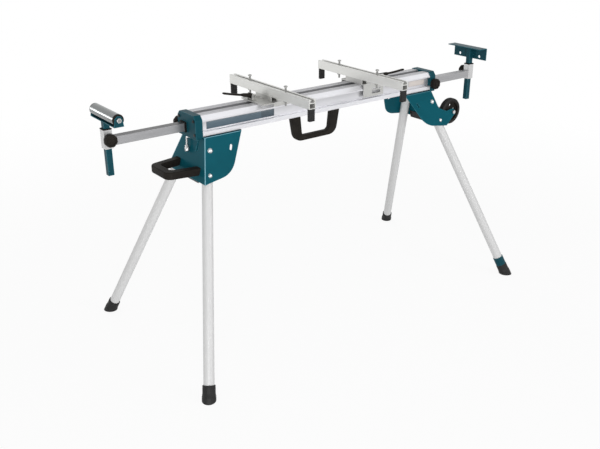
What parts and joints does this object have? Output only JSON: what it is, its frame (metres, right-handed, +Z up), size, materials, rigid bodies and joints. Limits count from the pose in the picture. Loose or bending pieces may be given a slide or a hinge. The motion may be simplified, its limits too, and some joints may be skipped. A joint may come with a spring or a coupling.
{
  "type": "miter saw stand",
  "caption": "Folding workshop stand: an extruded beam on splayed legs, with sliding saw brackets, extension arms, a work roller, a stop plate, wheels and handles.",
  "frame": {"origin": "on the floor, under the middle of the stand's length and width", "axes": "+X along the beam from the roller end to the stop end, +Y from the front to the back, +Z up"},
  "size_m": [1.5816, 0.7512, 0.855],
  "materials": {
    "beam_aluminium": "satin anodised",
    "arm_aluminium": "brushed",
    "bar_aluminium": "satin anodised",
    "bracket_steel": "zinc plated sheet",
    "zinc_steel": "zinc plated",
    "roller_steel": "bright plated",
    "teal_paint": "semi-gloss powder coat",
    "cast_teal": "semi-gloss paint on a casting",
    "leg_paint": "silver paint",
    "black_steel": "black coating",
    "black_plastic": "satin moulding",
    "wheel_plastic": "moulded",
    "tyre_rubber": "matte",
    "black_rubber": "matte"
  },
  "bodies": {
    "frame": {"main_beam": "beam_aluminium", "beam_cap_left": "cast_teal", "beam_cap_right": "cast_teal", "cap_screws": "zinc_steel", "leg_bracket_left": "teal_paint", "leg_bracket_right": "teal_paint", "cross_plates": "black_steel", "frame_screws": "zinc_steel", "leg_pivot_bolts": "zinc_steel", "leg_stop_bolts": "zinc_steel", "carry_handle": "black_plastic", "loop_handle": "black_plastic", "wheel_axle": "zinc_steel"},
    "front_left_leg": {"leg_front_left": "leg_paint", "boot_front_left": "black_rubber"},
    "back_left_leg": {"leg_back_left": "leg_paint", "boot_back_left": "black_rubber"},
    "front_right_leg": {"leg_front_right": "leg_paint"},
    "front_right_foot": {"boot_front_right": "black_rubber", "foot_sleeve": "teal_paint"},
    "back_right_leg": {"leg_back_right": "leg_paint", "boot_back_right": "black_rubber"},
    "left_arm": {"arm_tube_left": "arm_aluminium", "arm_glide_left": "black_plastic", "post_collar_left": "arm_aluminium"},
    "right_arm": {"arm_tube_right": "arm_aluminium", "arm_glide_right": "black_plastic", "post_collar_right": "arm_aluminium"},
    "left_post": {"roller_post": "teal_paint", "roller_cradle": "teal_paint", "roller_axle": "zinc_steel", "roller_nuts": "zinc_steel"},
    "right_post": {"stop_post": "teal_paint", "stop_angle": "teal_paint"},
    "roller": {"roller_tube": "roller_steel", "roller_end_plugs": "black_plastic"},
    "left_arm_knob": {"arm_lock_knob_left": "black_plastic"},
    "right_arm_knob": {"arm_lock_knob_right": "black_plastic"},
    "left_post_knob": {"post_lock_knob_left": "black_plastic"},
    "right_post_knob": {"post_lock_knob_right": "black_plastic"},
    "left_carriage": {"mount_bracket_left": "bracket_steel", "saw_bar_left": "bar_aluminium", "bar_feet_left": "black_rubber", "saw_bolts_left": "zinc_steel", "lever_pin_left": "zinc_steel"},
    "right_carriage": {"mount_bracket_right": "bracket_steel", "saw_bar_right": "bar_aluminium", "bar_feet_right": "black_rubber", "saw_bolts_right": "zinc_steel", "lever_pin_right": "zinc_steel"},
    "left_lever": {"clamp_lever_left": "black_plastic"},
    "right_lever": {"clamp_lever_right": "black_plastic"},
    "left_shoe": {"clamp_shoe_left": "bracket_steel"},
    "right_shoe": {"clamp_shoe_right": "bracket_steel"},
    "pull_pin_body": {"pull_pin": "zinc_steel"},
    "front_wheel": {"wheel_hub_front": "wheel_plastic", "wheel_tyre_front": "tyre_rubber"},
    "back_wheel": {"wheel_hub_back": "wheel_plastic", "wheel_tyre_back": "tyre_rubber"}
  },
  "joints": [
    {"name": "front_left_leg_fold", "type": "hinge", "parent": "frame", "child": "front_left_leg", "pos_m": [-0.47871, -0.05958, 0.6765], "axis": [0, -0.9191, 0.3939], "range_deg": [0, 105.6]},
    {"name": "back_left_leg_fold", "type": "hinge", "parent": "frame", "child": "back_left_leg", "pos_m": [-0.47871, 0.05958, 0.6765], "axis": [0, -0.9191, -0.3939], "range_deg": [0, 105.6]},
    {"name": "front_right_leg_fold", "type": "hinge", "parent": "frame", "child": "front_right_leg", "pos_m": [0.50471, -0.05958, 0.6765], "axis": [0, 0.9191, -0.3939], "range_deg": [0, 92.6]},
    {"name": "back_right_leg_fold", "type": "hinge", "parent": "frame", "child": "back_right_leg", "pos_m": [0.50471, 0.05958, 0.6765], "axis": [0, 0.9191, 0.3939], "range_deg": [0, 92.6]},
    {"name": "front_right_foot_slide", "type": "slide", "parent": "front_right_leg", "child": "front_right_foot", "axis": [0.269, -0.3794, -0.8853], "range_m": [0, 0.03]},
    {"name": "left_arm_slide", "type": "slide", "parent": "frame", "child": "left_arm", "axis": [-1, 0, 0], "range_m": [-0.238, 0.45]},
    {"name": "right_arm_slide", "type": "slide", "parent": "frame", "child": "right_arm", "axis": [1, 0, 0], "range_m": [-0.212, 0.45]},
    {"name": "left_post_slide", "type": "slide", "parent": "left_arm", "child": "left_post", "axis": [0, 0, 1], "range_m": [-0.007, 0.07]},
    {"name": "right_post_slide", "type": "slide", "parent": "right_arm", "child": "right_post", "axis": [0, 0, 1], "range_m": [-0.003, 0.07]},
    {"name": "roller_spin", "type": "hinge", "parent": "left_post", "child": "roller", "pos_m": [-0.771, 0, 0.832], "axis": [0, 1, 0], "continuous": true},
    {"name": "left_arm_knob_turn", "type": "hinge", "parent": "frame", "child": "left_arm_knob", "pos_m": [-0.4995, 0.055, 0.748], "axis": [0, 1, 0], "range_deg": [0, 360]},
    {"name": "left_post_knob_turn", "type": "hinge", "parent": "left_arm", "child": "left_post_knob", "pos_m": [-0.771, 0.002, 0.75575], "axis": [0, -1, 0], "range_deg": [0, 360]},
    {"name": "left_carriage_slide", "type": "slide", "parent": "frame", "child": "left_carriage", "axis": [1, 0, 0], "range_m": [-0.12, 0.14]},
    {"name": "left_lever_swing", "type": "hinge", "parent": "left_carriage", "child": "left_lever", "pos_m": [-0.255, 0.018, 0.806], "axis": [0, 1, 0], "range_deg": [0, 90]},
    {"name": "left_shoe_lift", "type": "slide", "parent": "left_carriage", "child": "left_shoe", "axis": [0, 0, 1], "range_m": [0, 0.001], "stiffness_N_per_m": 0.1, "springref_m": 0.71},
    {"name": "right_arm_knob_turn", "type": "hinge", "parent": "frame", "child": "right_arm_knob", "pos_m": [0.5255, -0.055, 0.748], "axis": [0, -1, 0], "range_deg": [0, 360]},
    {"name": "right_post_knob_turn", "type": "hinge", "parent": "right_arm", "child": "right_post_knob", "pos_m": [0.771, -0.002, 0.75575], "axis": [0, 1, 0], "range_deg": [0, 360]},
    {"name": "right_carriage_slide", "type": "slide", "parent": "frame", "child": "right_carriage", "axis": [1, 0, 0], "range_m": [-0.14, 0.12]},
    {"name": "right_lever_swing", "type": "hinge", "parent": "right_carriage", "child": "right_lever", "pos_m": [0.281, -0.018, 0.806], "axis": [0, -1, 0], "range_deg": [0, 90]},
    {"name": "right_shoe_lift", "type": "slide", "parent": "right_carriage", "child": "right_shoe", "axis": [0, 0, 1], "range_m": [0, 0.001], "stiffness_N_per_m": 0.1, "springref_m": 0.71},
    {"name": "pull_pin_slide", "type": "slide", "parent": "frame", "child": "pull_pin_body", "axis": [-0.9568, 0, 0.2907], "range_m": [0, 0.01], "stiffness_N_per_m": 300, "springref_m": -0.004},
    {"name": "front_wheel_spin", "type": "hinge", "parent": "frame", "child": "front_wheel", "pos_m": [0.602, -0.08061, 0.634], "axis": [0, 1, 0], "continuous": true},
    {"name": "back_wheel_spin", "type": "hinge", "parent": "frame", "child": "back_wheel", "pos_m": [0.602, 0.08061, 0.634], "axis": [0, 1, 0], "continuous": true}
  ],
  "couplings": [
    {"joint": "left_shoe_lift", "follows": "left_lever_swing", "m_per_rad": 0.000636},
    {"joint": "right_shoe_lift", "follows": "right_lever_swing", "m_per_rad": 0.000636}
  ]
}
